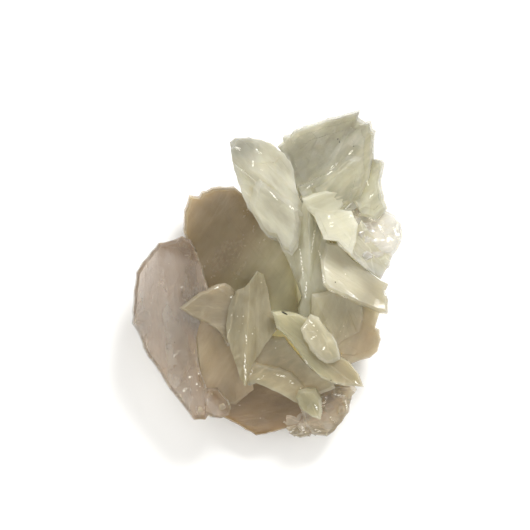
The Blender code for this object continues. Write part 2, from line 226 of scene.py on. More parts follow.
class Signal:
    """A shader socket. Arithmetic on it adds Math nodes, and node() adds any other node."""

    def __init__(self, tree, socket=None):
        self.tree = tree
        self.socket = socket

    def node(self, kind, settings, inputs, output=0):
        made = self.tree.nodes.new(kind)
        for name, value in settings.items():
            setattr(made, name, value)
        for name, value in inputs.items():
            if isinstance(value, Signal):
                self.tree.links.new(value.socket, made.inputs[name])
            else:
                made.inputs[name].default_value = value
        return Signal(self.tree, made.outputs[output])

    def maths(self, operation, first, second):
        return self.node("ShaderNodeMath", {"operation": operation}, {0: first, 1: second})

    def __add__(self, other):
        return self.maths("ADD", self, other)

    __radd__ = __add__

    def __sub__(self, other):
        return self.maths("SUBTRACT", self, other)

    def __rsub__(self, other):
        return self.maths("SUBTRACT", other, self)

    def __mul__(self, other):
        return self.maths("MULTIPLY", self, other)

    __rmul__ = __mul__

    def between(self, low, high):
        """0 at low, 1 at high, and smooth from one to the other."""
        settings = {"interpolation_type": "SMOOTHSTEP"}
        inputs = {"Value": self, "From Min": low, "From Max": high}
        return self.node("ShaderNodeMapRange", settings, inputs)

    def noise(self, where, size, detail=3.0, rough=0.5, bend=0.0):
        """A cloudy pattern whose largest clouds are about size millimetres across."""
        inputs = {"Vector": where, "Scale": 1 / (size * MM), "Detail": detail, "Roughness": rough,
                  "Distortion": bend}
        return self.node("ShaderNodeTexNoise", {}, inputs)

    def turned(self, where, spin, stretch):
        """where, turned about Z and then squeezed, so that a pattern on it runs along the blade."""
        rotation = (0, 0, math.radians(spin))
        straight = self.node("ShaderNodeMapping", {}, {"Vector": where, "Rotation": rotation})
        return self.node("ShaderNodeMapping", {}, {"Vector": straight, "Scale": stretch})

    def mixed(self, amount, first, second):
        """One colour into another, by amount."""
        return self.node("ShaderNodeMix", {"data_type": "RGBA"}, {0: amount, 6: first, 7: second}, 2)

    def spot(self, where, place, size, spin, rim=(0.7, 1.15)):
        """1 inside an upright oval at a place in the outlines' millimetres, and 0 beyond its rim."""
        centre = (-(place[0] + ORIGIN.x) * MM, -(place[1] + ORIGIN.y) * MM, 0)
        moved = self.node("ShaderNodeMapping", {}, {"Vector": where, "Location": centre})
        scale = (1 / (size[0] * MM), 1 / (size[1] * MM), 0)
        oval = self.turned(moved, -spin, scale)
        far = self.node("ShaderNodeVectorMath", {"operation": "LENGTH"}, {0: oval}, "Value")
        return 1 - far.between(*rim)


GYPSUM_IOR = 1.52
CLEAR = (1, 1, 0.97, 1)
# The white of the real cracks and veils, which the painted highlights and painted sparkle use too.
CRACK_AND_GLINT_WHITE = (0.90, 0.89, 0.82, 1)
SPECK_BLACK = (0.012, 0.011, 0.009, 1)
DEEP_TINT = (0.90, 0.88, 0.74, 1)  # the colour that thick clear gypsum takes on
TINT_DENSITY = 8
GLOW_REACH = 9 * MM  # how far light spreads inside milky gypsum
GLOW_COLOURS = (1.0, 0.94, 0.78)  # and the share of that for red, green and blue
# Painted highlight: the sloping edges' finish is lifted towards this grey.
EDGE_HIGHLIGHT_WHITE = 0.95  # pale edges go towards this grey
HAZE_WHITE = 0.92  # and clouds towards this one
HAZE_SHARE = 0.34  # how far clouds go, where cloud is 1
SHADE_SHARE = 0.32  # and how much darker the gypsum between them is


def gypsum(name, body, grain, cloud=0.18, glassy=0.5, polish=0.06, flaws=0.5, shard=9, pale=0, fade=None,
           marks=(), glints=()):
    """One selenite material: milky gypsum of the body's colour, and clear gypsum that shows what is
    behind it. grain is the bearing of its fibres, cloud how much milkier it is in places, glassy
    the share that is clear, polish its roughness, flaws how many white cracks it has, shard the
    size of its small facets and pale how much whiter than the body it is, which the sloping edges
    use as a painted highlight. fade is another colour and the two places that it comes in between.
    marks are the places of small dark specks on it, and glints those of painted highlights:
    bright spots where facets catch the light. Small flecks of painted sparkle go with the cracks."""
    material = bpy.data.materials.new(name)
    material.use_nodes = True
    tree = material.node_tree
    milk = tree.nodes["Principled BSDF"]
    make = Signal(tree)
    where = make.node("ShaderNodeTexCoord", {}, {}, "Object")
    along_grain = make.turned(where, -grain, (0.7, 1.5, 1))
    haze = make.noise(along_grain, size=13, detail=4, rough=0.55, bend=0.2).between(0.32, 0.70)
    streaks = make.turned(where, -grain, (0.5, 4, 1.4))
    veil = make.noise(streaks, size=9, detail=5, rough=0.6, bend=0.3).between(0.48, 0.74)
    fibres = make.noise(make.turned(where, -grain, (1, 16, 5)), size=22, detail=4, rough=0.62)
    grit = make.noise(where, size=0.9, detail=3, rough=0.6)
    drift = make.noise(where, size=4.2, detail=4, rough=0.62)
    warp = make.node("ShaderNodeTexNoise", {}, {"Vector": where, "Scale": 190, "Detail": 3}, "Color")
    wander = (3 * MM, 3 * MM, 3 * MM)
    bent = make.node("ShaderNodeVectorMath", {"operation": "MULTIPLY_ADD"},
                     {0: warp, 1: wander, 2: where}, "Vector")
    long = make.turned(bent, -grain, (0.6, 1.5, 1))
    cell = {"Vector": long, "Scale": 1 / (shard * MM)}
    cell_colour = make.node("ShaderNodeTexVoronoi", {"feature": "F1"}, cell, "Color")
    cell_middle = make.node("ShaderNodeTexVoronoi", {"feature": "F1"}, cell, "Position")
    lean = make.node("ShaderNodeVectorMath", {"operation": "SUBTRACT"},
                     {0: cell_colour, 1: (0.5, 0.5, 0.5)}, "Vector")
    from_middle = make.node("ShaderNodeVectorMath", {"operation": "SUBTRACT"},
                            {0: long, 1: cell_middle}, "Vector")
    facets = make.node("ShaderNodeVectorMath", {"operation": "DOT_PRODUCT"},
                       {0: lean, 1: from_middle}, "Value")
    aslant = make.turned(bent, 20 - grain, (0.6, 2.2, 1))
    shards = make.node("ShaderNodeTexVoronoi", {"feature": "DISTANCE_TO_EDGE"},
                       {"Vector": aslant, "Scale": 0.8 / (shard * MM)}, "Distance")
    broken = make.noise(where, size=8, detail=3, rough=0.6, bend=0.5)
    broken = broken.between(0.60 - flaws * 0.2, 0.78 - flaws * 0.2)
    crack = (1 - shards.between(0.0, 0.07)) * broken * drift
    # Painted sparkle: tiny white flecks, in patches, for points of light caught by small facets.
    sparkle_cells = make.node("ShaderNodeTexVoronoi", {"feature": "F1"},
                     {"Vector": where, "Scale": 1 / (1.7 * MM)}, "Distance")
    sparkle_patches = make.noise(where, size=6, detail=3, rough=0.6).between(0.63 - flaws * 0.1, 0.72)
    painted_sparkle = (1 - sparkle_cells.between(0.07, 0.16)) * sparkle_patches
    bright = crack * (0.1 + flaws * 0.3) + veil * 0.22 * drift + painted_sparkle * flaws * 1.2
    # Painted highlights: each of the glints is a bright oval, broken into bits by this mask.
    glint_breakup = make.noise(make.turned(where, -grain, (1, 2, 1)), size=0.7, detail=3, rough=0.7)
    glint_breakup = glint_breakup.between(0.48, 0.58)
    for place, size, spin in glints:
        bright = bright + make.spot(where, place, size, spin) * glint_breakup * 0.85
    # pale lifts the colour towards white; only the edges' painted highlight uses it.
    body = tuple(part + (EDGE_HIGHLIGHT_WHITE - part) * pale for part in body)
    deeper = tuple(part * (1 - SHADE_SHARE * cloud) for part in body)
    paler = tuple(part + (HAZE_WHITE - part) * HAZE_SHARE * cloud for part in body)
    colour = make.mixed(haze, (*deeper, 1), (*paler, 1))
    if fade:
        other, start, end = fade
        run = (Vector(end) - Vector(start)) * MM
        begun = (Vector(start) + ORIGIN) * MM
        slope = (run.x / run.length_squared, run.y / run.length_squared, 0)
        along = make.node("ShaderNodeVectorMath", {"operation": "DOT_PRODUCT"}, {0: where, 1: slope}, "Value")
        gone = (along - begun.dot(run) / run.length_squared).between(0, 1)
        other = tuple(part + (EDGE_HIGHLIGHT_WHITE - part) * pale for part in other)
        colour = make.mixed(gone * (0.8 + haze * 0.2), colour, (*other, 1))
    colour = make.mixed(bright.between(0, 1), colour, CRACK_AND_GLINT_WHITE)
    share = glassy * (1.12 - haze * 0.3) - bright * 0.5
    for place, size, spin in marks:
        speck = make.spot(where, place, size, spin)
        colour = make.mixed(speck, colour, SPECK_BLACK)
        share = share - speck
    rough = haze * 0.09 + grit * 0.05 + crack * 0.2 + polish
    tilt = 200 + 1100 * flaws
    relief = fibres * 0.5 + drift * 0.4 + facets * tilt + grit * 0.1 - crack * 0.2
    bump = make.node("ShaderNodeBump", {}, {"Strength": 0.6, "Distance": 0.45 * MM, "Height": relief})
    tree.links.new(colour.socket, milk.inputs["Base Color"])
    tree.links.new(rough.socket, milk.inputs["Roughness"])
    tree.links.new(bump.socket, milk.inputs["Normal"])
    milk.inputs["IOR"].default_value = GYPSUM_IOR
    milk.inputs["Subsurface Weight"].default_value = 1.0
    milk.inputs["Subsurface Radius"].default_value = GLOW_COLOURS
    milk.inputs["Subsurface Scale"].default_value = GLOW_REACH
    ice = make.node("ShaderNodeBsdfPrincipled", {}, {
        "Base Color": CLEAR, "Roughness": rough, "Normal": bump, "IOR": GYPSUM_IOR,
        "Transmission Weight": 1.0}, "BSDF")
    cloudy = Signal(tree, milk.outputs["BSDF"])
    both = make.node("ShaderNodeMixShader", {}, {0: share.between(0, 1), 1: cloudy, 2: ice}, "Shader")
    tree.links.new(both.socket, tree.nodes["Material Output"].inputs["Surface"])
    inside = tree.nodes.new("ShaderNodeVolumeAbsorption")
    inside.inputs["Color"].default_value = DEEP_TINT
    inside.inputs["Density"].default_value = TINT_DENSITY
    tree.links.new(inside.outputs["Volume"], tree.nodes["Material Output"].inputs["Volume"])
    return material


def crystal(name, body, grain, edge_highlight=0.06, **traits):
    """The finish of a blade, and the paler one of its thin, sloping edges: a painted highlight."""
    edge = {**traits, "pale": edge_highlight}
    return gypsum(name, body, grain, **traits), gypsum(name + "_edge", body, grain, **edge)


left_clear = crystal(
    "left_selenite", (0.255, 0.165, 0.095), 95, glassy=0.6, polish=0.09, flaws=0.7,
    fade=((0.315, 0.21, 0.125), (-25, -10), (-22, -27)),
    glints=(
        ((-23.2, -31.7), (0.9, 0.45), 30), ((-19, -26.7), (1.1, 0.35), 40),
        ((-21.8, -28.1), (0.8, 0.3), 10), ((-25.8, -21.5), (1.4, 0.2), 55),
        ((-24.1, -2.9), (0.5, 0.3), 0), ((-19.9, -30), (0.6, 0.3), 60)))
blade("left_plate", left_clear, 17, 9, 0, 5.5, [
    (-30.2, 9.5), (-27.2, 10), (-23.8, 11.4), (-21.3, 10.3), (-19.6, 6.7), (-18.2, 2.5), (-16.4, -3.7),
    (-17.6, -9.3), (-19.3, -14.9), (-19.9, -19.1), (-18.8, -26.7), (-16.4, -33), (-16, -38),
    (-17.4, -40.1), (-20.4, -40.1), (-22.7, -37), (-26.9, -31.7), (-30.2, -26.4), (-33, -22.5),
    (-34.4, -20), (-36.1, -15.2), (-37.5, -13.1), (-37.5, -9.9), (-37, -3.7), (-36.4, 1.3),
    (-34.7, 4.1), (-32.2, 7.2)], bevel=1.2, foot=(-9, -10), shrink=0.45)
blade("left_lobe", left_clear, 15.5, 8, 20, 6, [
    (-19, -31), (-14, -31), (-10.9, -34.8), (-10.2, -36.8), (-10.9, -38.7), (-12.9, -39.6), (-15.4, -39.3),
    (-18, -38)], foot=(-8, -22), shrink=0.6)
pointer_green = crystal(
    "pointer_selenite", (0.31, 0.25, 0.15), 0,
    glints=(((-10.2, -5.6), (0.5, 0.4), 0), ((-14, -2.9), (1.2, 0.2), 25)))
blade("pointer", pointer_green, 19.2, 8, -10, 4.5, [
    (-24.6, -8.8), (-21.8, -6.5), (-19, -4.4), (-16.2, -3.2), (-14, -2.2), (-11.8, -1.8), (-10.4, -2.6),
    (-9.2, -4), (-7, -7.1), (-6.3, -13.5), (-7.4, -19.4), (-11.2, -19.4), (-12.9, -16.3),
    (-14.8, -14.4), (-18.5, -12.4), (-21.8, -10.7)], bevel=0.9)


# The broad, deep plate behind, the low valley in front of it, and the cloudy heart.
# Smoky, olive gypsum with few flaws. The deep plate's dark brown is painted shade of the recess it lies in;
# towards the heart it fades into a pale yellow, painted light that offsets the shade of the blades above.
smoky_painted_shade = crystal(
    "smoky_painted_shade_selenite", (0.29, 0.205, 0.09), 60, cloud=0.2, glassy=0.35, polish=0.16, flaws=0.1,
    fade=((0.97, 0.91, 0.61), (-9, 10), (6, -2)))
valley_tan = crystal(
    "valley_selenite", (0.55, 0.42, 0.25), 60, cloud=0.2, glassy=0.45, polish=0.14, flaws=0.2)
blade("smoky_plate", smoky_painted_shade, 10, 10, -50, 5, [
    (-23.5, 12.5), (-23.2, 18.1), (-21.8, 22.5), (-19, 22.2), (-18.2, 23.5), (-16.8, 23.7),
    (-15.4, 24.6), (-13.2, 24.9), (-9.2, 24.9), (-7.3, 23.2), (-3.4, 20.9), (4.8, 13.7), (9.5, 4.1),
    (12.3, -6.5), (9, -13.5), (-5, -14.9), (-14.8, -9.9), (-20.4, 0.5)], foot=(-3, 2), shrink=0.6)
blade("valley", valley_tan, 12.8, 12, -60, 8, [
    (-21, -12.7), (-12, -9.6), (-3.5, -12.7), (-3.5, -32.3), (-9, -36.1), (-13.7, -35.8), (-19, -30)],
    foot=(-7, -17), shrink=0.7)
blade("heart", smoky_painted_shade, 12.5, 6, -40, 10, [
    (8, 0), (9, 12), (20, 15), (27, 5), (27, -16), (20, -23), (9, -15)], bevel=1.5, foot=(15, -3), shrink=0.8)


# The tall blade at the back, with a ridge down it, and the two thin ones that lap over its ends.
# Pale green gypsum with fine fibres along it. It is a high slab, cut down to a roof.
tall_green = crystal(
    "tall_selenite", (0.69, 0.665, 0.525), 130, flaws=0.4,
    fade=((0.34, 0.34, 0.3), (-2, 30), (-6, 38)),
    glints=(
        ((-4.2, 31.5), (0.3, 1.1), 0), ((-1.6, 29.8), (0.5, 0.3), 0), ((-7, 29.7), (0.5, 0.3), 0),
        ((-2.5, 34.7), (1.3, 0.35), -45), ((-8.4, 35.6), (1.0, 0.5), -20),
        ((1.5, 22.6), (1.8, 0.25), -48), ((6.5, 19.3), (1.2, 0.3), -40)))
SKY = 60  # higher than any ridge: a roofed crystal is cut down from here
ROOF = 0.5  # its faces' normals have at least this much Z in them


def roofed(name, finish, ridge, falls, waist, outline, foot, shrink=0.5, nick=0.22, ribs=5, lift=0.3):
    """A crystal with a ridge: two faces that fall away from the line between its two ends, by so
    many degrees each. Its sides are upright down to the waist, where the stem starts."""
    nicked, middle = chipped(outline, nick)
    obj = slab(name, [point - middle for point in nicked], SKY - waist, finish)
    editing(True)
    place = Vector((middle.x + ORIGIN.x, middle.y + ORIGIN.y, (SKY + waist) / 2)) * MM
    bpy.ops.mesh.select_all(action="SELECT")
    bpy.ops.transform.translate(value=place)
    start, end = (Vector((point[0] + ORIGIN.x, point[1] + ORIGIN.y, point[2])) for point in ridge)
    along = (end - start).normalized()
    across = Vector((-along.y, along.x, 0)).normalized()
    for side, fall in zip((1, -1), falls):
        fall = math.radians(fall)
        downhill = across * side * math.cos(fall) - Vector((0, 0, math.sin(fall)))
        bpy.ops.mesh.select_all(action="SELECT")
        bpy.ops.mesh.bisect(plane_co=start * MM, plane_no=along.cross(downhill) * side, use_fill=True,
                            clear_outer=True)
    editing(False)
    ribbed(obj, math.atan2(along.y, along.x), ribs, lift, ROOF)
    pick_cap(obj, -1)
    editing(False)
    stem(obj, foot, shrink)
    in_triangles()
    return obj


roofed("tall_blade", tall_green, ((-7.8, 34.1, 35), (8.4, 18.7, 27)), (14, 19), 20, [
    (-10.4, 35.5), (-8.4, 37.5), (-1.7, 37.3), (2.5, 35.5), (4.5, 34.4), (6.2, 32.1), (7.1, 29.9),
    (7.4, 27.1), (8.4, 22.6), (10.1, 19.8), (9.2, 13.7), (8.4, 8.1), (6.7, 5.8), (4.2, 7.1), (2.5, 10.7),
    (0, 11.1), (-2, 13.4), (-4.5, 17.9), (-5.6, 19), (-7, 22.3), (-8.4, 26.5), (-9.5, 29.9),
    (-10.1, 32.7)], foot=(4, 15))
blade("tall_back", tall_green, 32.9, 22, 5, 3, [
    (-9.9, 37.5), (-8.6, 38.6), (-5, 38.9), (-1.7, 38.3), (1.1, 37.3), (2.5, 36.1), (5, 33.5),
    (2.2, 31.5), (-3.6, 31), (-8, 33.2), (-9.4, 35.2)], edge=0.6, foot=(2, 20), shrink=0.8)
blade("tall_front", tall_green, 28.3, 20, -80, 4, [
    (-2.5, 27.9), (-0.6, 26), (3.1, 23.2), (6.4, 20.7), (8.4, 18.4), (9, 14.8), (8.4, 9.7), (6.7, 6.1),
    (4.2, 7.5), (2.5, 10.9), (0, 11.4), (-2, 13.4), (-4.2, 17.9), (-5.2, 19.8), (-4.2, 24.3)], edge=1.6,
    bevel=1.3)


# The steep, narrow blade in the middle, which stands on edge, and the low one at its foot.
# Green-grey gypsum with strong fibres down its whole length.
column_green = crystal(
    "column_selenite", (0.65, 0.625, 0.455), 92, glassy=0.45,
    glints=(
        ((9.4, 4), (0.25, 5), 8), ((12.6, 10), (0.25, 4), -8), ((10.6, -4), (0.3, 3), -4),
        ((14.6, 6), (0.3, 1.6), 20)))
roofed("column", column_green, ((11.2, 21.8, 29.5), (11.8, -8.5, 14)), (45, 33), 8, [
    (10.1, 21.8), (11.5, 20.4), (12.9, 17), (14.3, 13.4), (15.5, 10.3), (14.6, 7.8), (13.4, 5.5),
    (12.6, 1.9), (12, -4.3), (10.4, -8.5), (9.5, -5.7), (7.8, -1.2), (5.9, 3.6), (4.2, 7.2), (6.4, 10.3),
    (8.1, 15.9)], foot=(10, 4), shrink=0.8)
blade("column_foot", column_green, 16.9, 14, -75, 5, [
    (11.5, 11.5), (16, 12), (18.5, 8), (18, -2), (19.6, -6.5), (21.6, -9.9), (17.4, -12.4), (12.3, -13),
    (8.9, -14.3), (8.5, -9.3), (9.6, -6.2), (8.6, -1.8), (10, 4)], foot=(13, -4), shrink=0.8)


# The big plate at the upper right and the steps on it, with their ragged, broken far edge.
# Milky gypsum, clearer towards the edge, with a diagonal ridge where two growths meet.
milky = crystal(
    "milky_selenite", (0.5, 0.48, 0.355), 45, cloud=0.25, glassy=0.6, flaws=0.7,
    fade=((0.76, 0.735, 0.55), (16, 36), (18, 24)),
    marks=(
        ((19.4, 38.3), (0.35, 0.2), 60), ((19.9, 37.5), (0.5, 0.16), 100), ((23.8, 36.3), (0.2, 0.2), 0)),
    glints=(
        ((18.3, 30.8), (1.6, 0.4), 45), ((16.9, 28.9), (1.2, 0.3), 30), ((23, 34.6), (1, 0.3), 50),
        ((27.8, 26), (0.3, 1.2), 10), ((28.8, 22.5), (0.9, 0.4), 60), ((11.5, 25.2), (1.4, 0.25), 40)))
blade("upper_plate", milky, 30, 17, 235, 5, [
    (2.5, 36.1), (4.2, 37.2), (3.9, 38.6), (5.9, 38.9), (6.7, 40.1), (9.2, 41.1), (16, 43.3),
    (21.6, 44.7), (25.2, 45.6), (24.6, 43.3), (26.3, 42.2), (28, 42.6), (28.4, 40.3), (29.4, 39.6),
    (29, 37.5), (29, 32.7), (28, 27.1), (25.8, 22.1), (18.8, 17.3), (12.3, 17.3), (9.5, 20.5),
    (6.3, 27.7), (5, 32.4)], edge=0.6, foot=(14, 19), shrink=0.42,
    layers=((0.85, 0.25, (0, 0)), (0.7, 0.2, (0, 0))))
blade("upper_inner", milky, 30, 13, 250, 4, [
    (8.7, 24.9), (17.4, 29.3), (22.1, 33.8), (26.3, 33.2), (26.9, 29.3), (25.8, 24.9), (23, 20.7),
    (16, 18.3), (10.6, 19.7)], edge=1.2, layers=((0.75, 0.25, (0.2, 0.2)),))
blade("upper_step", milky, 27.5, 14, 200, 4.5, [
    (24.6, 33.2), (29, 32.7), (31.1, 32.3), (31.8, 31.3), (31.1, 28.2), (30.7, 26.5), (31.5, 22.3),
    (31.6, 20.7), (32.5, 18.7), (30, 15.9), (25.8, 17), (23.5, 21.5), (24.6, 27.1)], edge=0.6,
    foot=(19, 15), shrink=0.6, layers=((0.78, 0.25, (0, 0)),))


# The two bright cream blades in the middle of the right half.
# Dense, milky gypsum, the whitest in the cluster. The lower one overhangs the blade in front.
cream = crystal(
    "cream_selenite", (0.58, 0.56, 0.42), 20, cloud=0.25, glassy=0.35, flaws=0.3,
    fade=((0.8, 0.77, 0.61), (15, 21), (19, 12)),
    glints=(((17.6, 14.6), (0.7, 1), 0), ((17, 16.6), (0.4, 0.7), 0), ((23.4, 17), (1, 0.4), 30)))
blade("cream_upper", cream, 29.2, 14, 285, 5, [
    (9.5, 21.5), (12.6, 22.9), (16.2, 24), (19.9, 23.9), (21.8, 21.8), (21, 19.8), (18.5, 16),
    (13.4, 16), (11.2, 18.3)], foot=(13, 14), shrink=0.9)
blade("cream_lower", cream, 27.8, 8, 300, 6, [
    (11.2, 19.8), (15.1, 19.3), (19.6, 19), (23.5, 18.1), (25.2, 14.5), (24.6, 9.5), (23.5, 5.8),
    (21.3, 7.8), (19.5, 9.7), (17.4, 10), (15.5, 10.3), (14.3, 13.4), (12.9, 16.7)], edge=0.5,
    foot=(16, 11), shrink=0.9, layers=((0.8, 0.2, (0.1, 0.2)),))


# The blades that point out to the right, and the glassy lobe above them.
# Pale yellow-green gypsum, each with a sloping edge made brighter by painted highlight.
glass = crystal(
    "glassy_selenite", (0.84, 0.8, 0.71), 30, cloud=0.25, glassy=0.55, polish=0.04, flaws=0.9, shard=3,
    glints=(
        ((28.5, 16.5), (1.8, 0.4), -35), ((31.5, 13.5), (1.6, 0.4), -60), ((33.6, 10.5), (0.4, 1.2), 0),
        ((26.5, 18), (1.2, 0.5), 20), ((30, 18), (1.2, 0.3), 10), ((35.4, 13), (0.4, 1.4), 15)))
pale_green = crystal(
    "pale_green_selenite", (0.66, 0.615, 0.455), -35, glassy=0.45, polish=0.09, flaws=0.25,
    fade=((0.53, 0.485, 0.36), (23, 0), (29, -6)),
    marks=(((18.8, -1.5), (0.22, 0.18), 0),),
    glints=(
        ((15.6, -1), (0.3, 1.9), 10), ((17.8, -4.1), (1.2, 0.3), -30), ((21.4, -5.7), (1.3, 0.3), -20),
        ((32.8, -4.4), (0.35, 1), 0)))
bright_green = crystal(
    "shelf_selenite", (0.88, 0.84, 0.67), -35, cloud=0.25, polish=0.05, flaws=0.9, shard=4)
blade("right_shelf", bright_green, 23.8, 13, -45, 5, [
    (20.3, 16.3), (26.3, 15.7), (31.4, 9.2), (34.8, 5.5), (33.9, 2.8), (31.6, -0.9), (27, 2.2),
    (19.7, 8.6)], edge=0.6, foot=(22, 7))
blade("clear_lobe", glass, 23.4, 10, 0, 6, [
    (24, 18.6), (28, 20.4), (32.2, 19), (33.9, 18.1), (35.6, 17.2), (36.4, 15.9), (37.5, 14.8),
    (37.8, 12.5), (37.8, 10.9), (37.2, 9.2), (36.4, 7.5), (34.7, 5.3), (31.6, 5.9), (28.1, 9.3),
    (24.4, 12.6)], edge=1.2, bevel=1.6, foot=(22, 10), shrink=0.6)
blade("right_blade", pale_green, 22.5, 11, 75, 4.5, [
    (16, 10), (19.3, 9.5), (21.3, 7.8), (23.2, 5.5), (26, 3.6), (28.8, 1.3), (31.6, -0.9),
    (33.7, -1.8), (32.8, -4), (33.6, -6.2), (33.5, -9.9), (31.1, -9.5), (25.8, -7.4), (20.2, -4.8),
    (16.8, -3.2), (15.4, -1.5), (15, 1.9), (14.7, 5.3), (15.7, 7.8)], bevel=1.1, foot=(17, -1),
    shrink=0.55)


# The two blocky blades under the right-hand ones.
# Tan, half clear gypsum, in the others' shade.
tan = crystal(
    "tan_selenite", (0.66, 0.6, 0.4), 70, polish=0.07, flaws=0.4,
    fade=((0.62, 0.5, 0.34), (20, -8), (28, -20)))
blade("box_top", tan, 16.5, 12, -60, 5, [
    (12.4, -5), (20.2, -3.3), (26.3, -6.1), (26.9, -12.1), (25.8, -15.8), (23, -17.4),
    (18.3, -20.6), (14, -17.2), (12, -11)], foot=(18, -9), shrink=0.8)
blade("box_low", tan, 14, 8, -30, 6, [
    (17.4, -5.4), (26.3, -6), (31.6, -9), (31.4, -10.2), (30.2, -14.4), (31.4, -14.9), (31.8, -17.7),
    (30.8, -21.1), (28.8, -22.8), (25.8, -23.6), (23, -24.7), (18.5, -23.9), (15.1, -17.7)], edge=0.6,
    foot=(19, -11), shrink=0.6, layers=((0.8, 0.3, (-0.1, 0.2)),))


# The long blade that points to the lower right, the rounded hood on its back and the floor by it.
# Green-grey gypsum. A short black speck lies on its left end.
lower_green = crystal(
    "lower_selenite", (0.49, 0.455, 0.28), -40,
    fade=((0.41, 0.355, 0.23), (12, -20), (21, -20)),
    marks=(
        ((4.6, -10.15), (1.15, 0.3), -28), ((14, -18.8), (0.2, 0.2), 0), ((17.6, -28.9), (0.2, 0.2), 0)),
    glints=(
        ((10.6, -23.6), (0.9, 0.25), -55), ((24.5, -29.4), (0.9, 0.25), -40),
        ((13.4, -36.2), (0.3, 1.3), 20)))
blade("lower_blade", lower_green, 24, 9, -40, 4.5, [
    (1.4, -9.9), (3.6, -9.7), (7.8, -10.2), (10.6, -11.3), (14.3, -11.6), (16.8, -14.4),
    (19.3, -18), (19.9, -20.5), (20.7, -22.5), (23, -23.9), (23.9, -25.3), (25.5, -27.2),
    (26.3, -29.5), (26.9, -30.9), (21.6, -30.6), (18.8, -30), (15.1, -28.4), (11.2, -25),
    (8.1, -20.2), (4.5, -16), (2.5, -14.4), (1.8, -11.6)], bevel=0.9, foot=(12, -17), shrink=0.55)
hood_green = crystal(
    "hood_selenite", (0.62, 0.57, 0.4), -50, flaws=0.6,
    glints=(
        ((10.1, -14.2), (0.25, 1.5), -35), ((12.2, -12.9), (0.25, 1.4), 40),
        ((12.6, -17), (0.8, 0.35), 30), ((15.5, -20), (0.8, 0.3), 50)))
blade("hood", hood_green, 25.6, 9, 0, 4, [
    (9.2, -14.4), (10.6, -12.4), (12, -10.4), (14.3, -11.3), (16.2, -14.1), (18.2, -16.3),
    (19.3, -18.3), (19.9, -20.5), (20.4, -23), (18.5, -24), (16.5, -24.2), (14.3, -23), (12, -20.5),
    (10.1, -17.2)])
# The floor's near-white yellow is partly painted light, lifted to offset the shade that the blades beside it
# cast.
olive = crystal("olive_selenite", (0.98, 0.88, 0.57), 40, cloud=0.1, glassy=0.25, polish=0.07, flaws=0.3)
blade("olive_floor", olive, 15, 10, -30, 8, [
    (-1.7, -17), (3, -13.6), (10, -18), (17, -28), (16, -33), (8, -32), (-2, -27)], foot=(6, -20),
    shrink=0.7)


# The broad plate at the bottom and the two ledges above it.
# Brownish gypsum below, and green-grey ledges with crisp, sloping faces.
brown = crystal("brown_selenite", (0.3, 0.185, 0.07), 10, polish=0.07, flaws=0.4)
ledge_green = crystal(
    "ledge_selenite", (0.68, 0.585, 0.37), 20, glassy=0.55, flaws=0.6,
    glints=(
        ((3.4, -27.6), (2, 0.35), -15), ((-2, -28.3), (1.6, 0.3), 30), ((6.5, -29.5), (1, 0.4), -30),
        ((-4.6, -26.6), (0.3, 1.2), -20), ((9.6, -31.6), (1.1, 0.3), -35)))
blade("bottom_plate", brown, 9.2, 12, -95, 5, [
    (-12.9, -39.6), (-10.1, -41), (-6.4, -43.2), (-3.4, -44.9), (-0.8, -44.5), (2, -43.8), (5, -42.9),
    (9, -41.8), (12.3, -38.1), (12, -32), (4.8, -27.9), (-5, -26.8), (-11.8, -29), (-14.3, -34.5)],
    edge=0.7, foot=(0, -25), shrink=0.55)
blade("ledge", ledge_green, 17, 20, -75, 7, [
    (-6, -24.8), (-3.4, -24.3), (-0.6, -25.1), (3.4, -25.7), (6.7, -27.1), (9.5, -29.6),
    (12.3, -32.6), (10.6, -36.2), (7.8, -35.6), (4.8, -33.7), (1.1, -32), (-1.7, -30.6),
    (-3.9, -29.8), (-5.6, -30.6), (-6.4, -28.4)], edge=0.6, foot=(3, -24), shrink=0.8)
blade("ledge_back", ledge_green, 16.5, 12, -60, 8, [
    (-3.7, -19.5), (0.6, -16.7), (4.8, -17.3), (9, -22.3), (14, -27.4), (17.9, -28.5), (19, -31.4),
    (14, -33.6), (9, -32.2), (4.8, -29.4), (-1.7, -27.7), (-5, -25)], foot=(6, -23), shrink=0.7)


# The glassy skirt round the lower right corner and the green knob that stands in it.
# Clear, lumpy gypsum, where many small crystals are broken off short.
skirt_glass = crystal(
    "skirt_selenite", (0.74, 0.6, 0.42), 30, cloud=0.25, glassy=0.65, polish=0.04, flaws=0.9, shard=3,
    glints=(
        ((12.2, -37.6), (0.4, 1.5), 20), ((16, -35), (0.4, 1.9), -15), ((20, -33.2), (2, 0.3), -10),
        ((22, -36), (0.3, 1.5), 10), ((10, -43), (0.4, 1.3), 30), ((6.5, -43.6), (0.9, 0.3), 20),
        ((14, -43.2), (1, 0.35), -20), ((18, -40), (0.3, 1.3), 40)))
blade("green_knob", lower_green, 18, 10, 240, 8, [
    (7.6, -34), (8.4, -32), (10.6, -31.4), (13.2, -31.7), (14.8, -34.5), (15.1, -37.9), (14.6, -40.1),
    (12.3, -39.6), (9.8, -37.9), (8.4, -36.2)], bevel=1.4, foot=(10, -27), shrink=0.8)
blade("glass_skirt", skirt_glass, 11, 15, -60, 6, [
    (9, -32.3), (12.3, -30.6), (17.4, -30), (23.5, -30.7), (25.2, -32), (23.8, -33.4), (23.8, -34.5),
    (23.2, -35.9), (23, -38.2), (21, -41.2), (18.8, -43.8), (16.8, -45.2), (14.6, -44.9),
    (12.6, -44.6), (10.6, -42.4), (9.2, -37.3)], edge=0.7, bevel=1.2, foot=(13, -27), shrink=0.5)
blade("glass_toe", skirt_glass, 8.4, 10, -90, 4.5, [
    (3.5, -41), (5, -42.9), (6.7, -44.6), (9, -45.6), (11.8, -45.2), (13.7, -42.9), (13.3, -38.1),
    (9.2, -37), (5, -38)], edge=0.6, bevel=1.2, foot=(8, -29), shrink=0.6)


